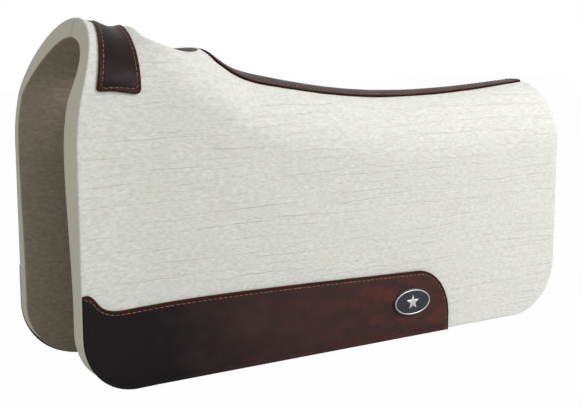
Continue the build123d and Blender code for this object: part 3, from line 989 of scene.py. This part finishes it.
def close_tree(tree, made, finish):
    """What the tree has made goes out as one smooth mesh with a finish."""
    real = add(tree, "GeometryNodeRealizeInstances", {0: made})
    smooth = add(tree, "GeometryNodeSetShadeSmooth", {"Geometry": real})
    dyed = add(tree, "GeometryNodeSetMaterial", {"Geometry": smooth, "Material": finish})
    add(tree, "NodeGroupOutput", {0: dyed})


sewing, sockets, given = new_tree(
    "stitch_row",
    Pitch="Float",
    Length="Float",
    Width="Float",
    Slant="Float",
    Seed="Int",
    Thread="Material",
)
half = add(sewing, "ShaderNodeMath", {0: given["Length"], 1: 0.5}, operation="MULTIPLY")
back = add(sewing, "ShaderNodeMath", {0: half, 1: -1.0}, operation="MULTIPLY")
sunk = add(sewing, "ShaderNodeMath", {0: given["Width"], 1: -0.55}, operation="MULTIPLY")
crown = add(sewing, "ShaderNodeMath", {0: given["Width"], 1: 1.05}, operation="MULTIPLY")
thick = add(sewing, "ShaderNodeMath", {0: given["Width"], 1: 0.5}, operation="MULTIPLY")
start = add(sewing, "ShaderNodeCombineXYZ", {"X": back, "Z": sunk})
middle = add(sewing, "ShaderNodeCombineXYZ", {"Z": crown})
end = add(sewing, "ShaderNodeCombineXYZ", {"X": half, "Z": sunk})
arch = add(
    sewing,
    "GeometryNodeCurveQuadraticBezier",
    {"Resolution": 7, "Start": start, "Middle": middle, "End": end},
)
ring = add(sewing, "GeometryNodeCurvePrimitiveCircle", {"Resolution": 7, "Radius": thick})
strand = add(sewing, "GeometryNodeCurveToMesh", {
    "Curve": arch, "Profile Curve": ring.outputs["Curve"], "Fill Caps": True,
})
line = add(sewing, "GeometryNodeMeshToCurve", {"Mesh": given["Geometry"]})
even = add(sewing, "GeometryNodeResampleCurve", {"Curve": line, "Length": given["Pitch"]}, mode="LENGTH")
up = add(sewing, "GeometryNodeInputNamedAttribute", {"Name": "up"}, data_type="FLOAT_VECTOR")
along = add(sewing, "GeometryNodeInputTangent")
stand = add(sewing, "FunctionNodeAlignRotationToVector", {"Vector": up}, axis="Z")
turned = add(sewing, "FunctionNodeAlignRotationToVector", {
    "Rotation": stand, "Vector": along,
}, axis="X", pivot_axis="Z")
wander = add(sewing, "FunctionNodeRandomValue", {2: -0.07, 3: 0.07, "Seed": given["Seed"]})
askew = add(sewing, "ShaderNodeMath", {0: given["Slant"], 1: wander}, operation="ADD")
yaw = add(sewing, "ShaderNodeCombineXYZ", {"Z": askew})
yaw = add(sewing, "FunctionNodeEulerToRotation", {0: yaw})
laid = add(sewing, "FunctionNodeRotateRotation", {
    "Rotation": turned, "Rotate By": yaw,
}, rotation_space="LOCAL")
sizes = add(sewing, "FunctionNodeRandomValue", {2: 0.9, 3: 1.08, "Seed": given["Seed"]})
set_out = add(
    sewing,
    "GeometryNodeInstanceOnPoints",
    {"Points": even, "Instance": strand, "Rotation": laid, "Scale": sizes},
)
close_tree(sewing, set_out, given["Thread"])


def as_made(name, line, tree, sockets, values):
    """A line of points with a node tree on it, as the plain mesh that the tree makes."""
    guide = new_object(name + "_line", line)
    modifier = guide.modifiers.new("made", "NODES")
    modifier.node_group = tree
    for label, value in values.items():
        modifier[sockets[label].identifier] = value
    ready = guide.evaluated_get(bpy.context.evaluated_depsgraph_get())
    mesh = bpy.data.meshes.new_from_object(ready)
    mesh.name = name
    bpy.data.objects.remove(guide)
    return new_object(name, mesh)


def sew(name, path, side, seed):
    """A row of stitches on the leather along a path in (x, reach)."""
    path = spaced(path, 3 * MM, closed=False)
    line = bpy.data.meshes.new(name)
    points = off_face(path[:, 0], path[:, 1], np.full(len(path), LEATHER_TOP - 0.25 * MM), side)
    line.from_pydata(points.tolist(), [(i, i + 1) for i in range(len(path) - 1)], [])
    ups = outward(path[:, 0], path[:, 1]) * [1, side, 1]
    line.attributes.new("up", "FLOAT_VECTOR", "POINT").data.foreach_set(
        "vector",
        ups.astype(np.float32).ravel(),
    )
    values = {
        "Pitch": STITCH_PITCH,
        "Length": STITCH_LENGTH,
        "Width": THREAD_WIDTH,
        "Slant": 0.1 * side,
        "Seed": seed,
        "Thread": thread_finish,
    }
    return as_made(name, line, sewing, sockets, values)


first = 0.5 * STITCH_PITCH
for seed, (name, side) in enumerate(SIDES.items()):
    path = wear_top(STITCH_INSET)
    path[:, 1] = reach_at(path[:, 0], path[:, 1])
    path[-1, 1] -= 3 * MM
    row = sew(f"{name}_wear_panel_stitches", path, side, 11 + seed)
    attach(row, f"{name}_side")
    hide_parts(f"wear_leather_thread_{name}")
    sewn_edges = (
        ("wither_strap", strap_side(STITCH_INSET)),
        ("spine_strip", strip_side(STITCH_INSET)),
    )
    for label, path in sewn_edges:
        path = np.array(path)
        path[[0, -1], 1] = first
        row = sew(f"{name}_{label}_stitches", path, side, 21 + seed)
        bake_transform(row)
        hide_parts(f"{label}_thread")

# ---------------------------------------------------------------- seam threads
# Inside, a zigzag of waxed cord joins the two felt halves across the spine, in front of the vent and
# behind it.  Each is one cord that lies just under the felt.
SEAM_PITCH = 12 * MM
SEAM_HALF_WIDTH = 5 * MM
SEAM_MARGIN = 8 * MM
zigzag, zigzag_sockets, given = new_tree(
    "cord_along_line", Radius="Float", Bend="Float", Cord="Material"
)
line = add(zigzag, "GeometryNodeMeshToCurve", {"Mesh": given["Geometry"]})
eased = add(zigzag, "GeometryNodeFilletCurve", {"Curve": line, "Radius": given["Bend"]}, mode="POLY")
ring = add(zigzag, "GeometryNodeCurvePrimitiveCircle", {"Resolution": 8, "Radius": given["Radius"]})
cord = add(zigzag, "GeometryNodeCurveToMesh", {
    "Curve": eased, "Profile Curve": ring.outputs["Curve"], "Fill Caps": True,
})
close_tree(zigzag, cord, given["Cord"])

for name, start, end in (
    ("seam_thread_front", FRONT_X + CREST_SETBACK + SEAM_MARGIN, FRONT_X + VENT_START - SEAM_MARGIN),
    ("seam_thread_rear", VENT_END + SEAM_MARGIN, REAR_X - SEAM_MARGIN),
):
    x = np.arange(start, end, SEAM_PITCH / 2)
    across = SEAM_HALF_WIDTH * np.where(np.arange(len(x)) % 2, 1, -1)
    under = crest_height(x) - FELT_THICKNESS - 0.9 * MM
    line = bpy.data.meshes.new(name)
    links = [(i, i + 1) for i in range(len(x) - 1)]
    line.from_pydata(np.stack([x, across, under], -1).tolist(), links, [])
    values = {"Radius": 0.6 * MM, "Bend": 1.2 * MM, "Cord": thread_finish}
    row = as_made(name.replace("thread", "zigzag"), line, zigzag, zigzag_sockets, values)
    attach(row, "topline")
    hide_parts(name)

# ---------------------------------------------------------------- badges
# An oval enamelled plate riveted near the rear of each wear leather: black enamel on a domed metal
# plate, with a raised bright rim line and a plain five-pointed star.
BADGE_X = FRONT_X + 502 * MM
BADGE_Z = 51 * MM
BADGE_BACK = BODY_HALF_WIDTH + LEATHER_TOP
BADGE_LENGTH = 66 * MM
BADGE_WIDTH = 39 * MM
BADGE_THICKNESS = 2.4 * MM
BADGE_DOME = 0.5 * MM
RIM_INSET = 1.8 * MM
RIM_WIDTH = 1.4 * MM
RELIEF = 0.6 * MM
STAR_RADIUS = 11 * MM
STAR_WAIST = 0.42
RING_POINTS = 96


def dome(x, z):
    """How far the plate's face stands out at a place, from the middle of the badge."""
    share = (2 * x / BADGE_LENGTH) ** 2 + (2 * z / BADGE_WIDTH) ** 2
    return BADGE_THICKNESS + BADGE_DOME * (1 - share)


def on_badge(name, points, faces, side, finish):
    """A piece of the badge from (along, up, out) points about its middle."""
    points = np.array(points)
    placed = np.stack(
        [BADGE_X + points[:, 0], side * (BADGE_BACK + points[:, 2]), BADGE_Z + points[:, 1]],
        -1,
    )
    mesh = bpy.data.meshes.new(name)
    mesh.from_pydata(placed.tolist(), [], faces)
    work = bmesh.new()
    work.from_mesh(mesh)
    bmesh.ops.recalc_face_normals(work, faces=work.faces)
    work.to_mesh(mesh)
    work.free()
    mesh.polygons.foreach_set("use_smooth", [True] * len(mesh.polygons))
    mesh.materials.append(finish)
    piece = new_object(name, mesh)
    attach(piece, f"{'left' if side < 0 else 'right'}_side")
    return piece


def ringed(sections, count=RING_POINTS, closed=False):
    """Points and faces of oval rings; a section is (inset from the oval, height out)."""
    points, faces = [], []
    for inset_by, out in sections:
        for k in range(count):
            turn = 2 * math.pi * k / count
            a, b = BADGE_LENGTH / 2 - inset_by, BADGE_WIDTH / 2 - inset_by
            points.append((a * math.cos(turn), b * math.sin(turn), out))
    for row in range(len(sections) - (0 if closed else 1)):
        lower = (row + 1) % len(sections)
        for k in range(count):
            n = (k + 1) % count
            faces.append((row * count + k, row * count + n, lower * count + n, lower * count + k))
    return points, faces


enamel, tree = new_material("black_vitreous_enamel")
spots = add(tree, "ShaderNodeTexCoord").outputs["Object"]
cloud = add(tree, "ShaderNodeTexNoise", {
    "Vector": spots, "Scale": 1 / (12 * MM), "Detail": 3.0, "Roughness": 0.55,
})
peel = add(tree, "ShaderNodeTexNoise", {
    "Vector": spots, "Scale": 1 / (2.5 * MM), "Detail": 2.0, "Roughness": 0.55,
})
shade = add(tree, "ShaderNodeMix", {
    0: add(tree, "ShaderNodeMapRange", {0: cloud, 1: 0.3, 2: 0.7}),
    6: colour("171B22"),
    7: colour("232830"),
}, data_type="RGBA")
bump = add(tree, "ShaderNodeBump", {
    "Height": add(tree, "ShaderNodeMapRange", {0: peel, 1: 0, 2: 1, 3: 0, 4: 0.06 * MM}),
    "Strength": 0.5,
    "Distance": 1.0,
})
gloss = add(tree, "ShaderNodeMapRange", {0: cloud, 1: 0.3, 2: 0.7, 3: 0.26, 4: 0.36})
glass = add(tree, "ShaderNodeBsdfPrincipled", {"Base Color": shade, "Normal": bump, "Roughness": gloss})
add(tree, "ShaderNodeOutputMaterial", {"Surface": glass})

nickel, tree = new_material("satin_nickel_plate")
spots = add(tree, "ShaderNodeTexCoord").outputs["Object"]
brushed = add(tree, "ShaderNodeTexNoise", {
    "Vector": add(tree, "ShaderNodeMapping", {"Vector": spots, "Scale": (1 / 14, 1, 1)}),
    "Scale": 1 / (0.5 * MM),
    "Detail": 2.0,
    "Roughness": 0.55,
})
tarnish = add(tree, "ShaderNodeTexNoise", {
    "Vector": spots, "Scale": 1 / (6 * MM), "Detail": 3.0, "Roughness": 0.55,
})
shade = add(tree, "ShaderNodeMix", {
    0: add(tree, "ShaderNodeMapRange", {0: tarnish, 1: 0.35, 2: 0.7}),
    6: colour("DDDDDB"),
    7: colour("C9C8C4"),
}, data_type="RGBA")
bump = add(tree, "ShaderNodeBump", {
    "Height": add(tree, "ShaderNodeMapRange", {0: brushed, 1: 0, 2: 1, 3: 0, 4: 0.04 * MM}),
    "Strength": 0.5,
    "Distance": 1.0,
})
metal = add(tree, "ShaderNodeBsdfPrincipled", {
    "Base Color": shade,
    "Normal": bump,
    "Roughness": add(tree, "ShaderNodeMapRange", {0: tarnish, 1: 0.3, 2: 0.7, 3: 0.3, 4: 0.42}),
    "Metallic": 1.0,
})
add(tree, "ShaderNodeOutputMaterial", {"Surface": metal})

for name, side in SIDES.items():
    rim_height = dome(BADGE_LENGTH / 2 - RIM_INSET - RIM_WIDTH / 2, 0)
    sections = [
        (0.1 * MM, 0),
        (0, 0.3 * MM),
        (0, BADGE_THICKNESS - 0.9 * MM),
        (0.25 * MM, BADGE_THICKNESS - 0.35 * MM),
        (0.8 * MM, BADGE_THICKNESS),
    ]
    sections += [
        (inward * MM, dome(BADGE_LENGTH / 2 - inward * MM, 0))
        for inward in (2, 4, 7, 11, 15, 18.5)
    ]
    points, faces = ringed(sections)
    faces.append(tuple(range(RING_POINTS)))
    faces.append(tuple(range(len(points) - RING_POINTS, len(points))))
    plate = on_badge(f"{name}_badge_plate", points, faces, side, enamel)
    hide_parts(f"badge_plate_{name}")

    foot, top = rim_height - 0.3 * MM, rim_height + RELIEF
    sections = [
        (RIM_INSET, foot),
        (RIM_INSET, top - 0.2 * MM),
        (RIM_INSET + 0.3 * MM, top),
        (RIM_INSET + RIM_WIDTH - 0.3 * MM, top),
        (RIM_INSET + RIM_WIDTH, top - 0.2 * MM),
        (RIM_INSET + RIM_WIDTH, foot),
    ]
    points, faces = ringed(sections, closed=True)
    rim = on_badge(f"{name}_badge_rim", points, faces, side, nickel)
    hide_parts(f"badge_rim_{name}")

    points = []
    for scale, out in ((1.0, -0.3), (1.0, 0.3), (0.93, 0.5)):
        for k in range(10):
            size = STAR_RADIUS * (STAR_WAIST if k % 2 else 1) * scale
            turn = math.radians(90 + 36 * k)
            x, z = size * math.cos(turn), size * math.sin(turn)
            points.append((x, z, float(dome(x, z)) + out * MM))
    points.append((0, 0, float(dome(0, 0)) + RELIEF + 0.25 * MM))
    faces = [
        (r * 10 + k, r * 10 + (k + 1) % 10, r * 10 + 10 + (k + 1) % 10, r * 10 + 10 + k)
        for r in (0, 1)
        for k in range(10)
    ]
    faces += [(20 + k, 20 + (k + 1) % 10, 30) for k in range(10)]
    faces.append(tuple(range(10)))
    star = on_badge(f"{name}_badge_star", points, faces, side, nickel)
    star.data.polygons.foreach_set("use_smooth", [False] * len(star.data.polygons))
    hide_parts(f"badge_star_{name}")

# ---------------------------------------------------------------- rivets
# Two flat-headed steel rivets hold each badge through the leather; their heads lie in pockets in the
# felt behind it.
steel, tree = new_material("bright_steel_rivet")
spots = add(tree, "ShaderNodeTexCoord").outputs["Object"]
turned_marks = add(tree, "ShaderNodeTexNoise", {
    "Vector": spots, "Scale": 1 / (1.2 * MM), "Detail": 3.0, "Roughness": 0.55,
})
shade = add(tree, "ShaderNodeMix", {
    0: add(tree, "ShaderNodeMapRange", {0: turned_marks, 1: 0.3, 2: 0.7}),
    6: colour("B9B9B6"),
    7: colour("A2A19D"),
}, data_type="RGBA")
metal = add(tree, "ShaderNodeBsdfPrincipled", {
    "Base Color": shade,
    "Roughness": add(tree, "ShaderNodeMapRange", {0: turned_marks, 1: 0.3, 2: 0.7, 3: 0.3, 4: 0.5}),
    "Metallic": 1.0,
})
add(tree, "ShaderNodeOutputMaterial", {"Surface": metal})
for name in SIDES:
    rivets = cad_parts[f"badge_rivets_{name}"]
    rivets.data.materials.clear()
    rivets.data.materials.append(steel)
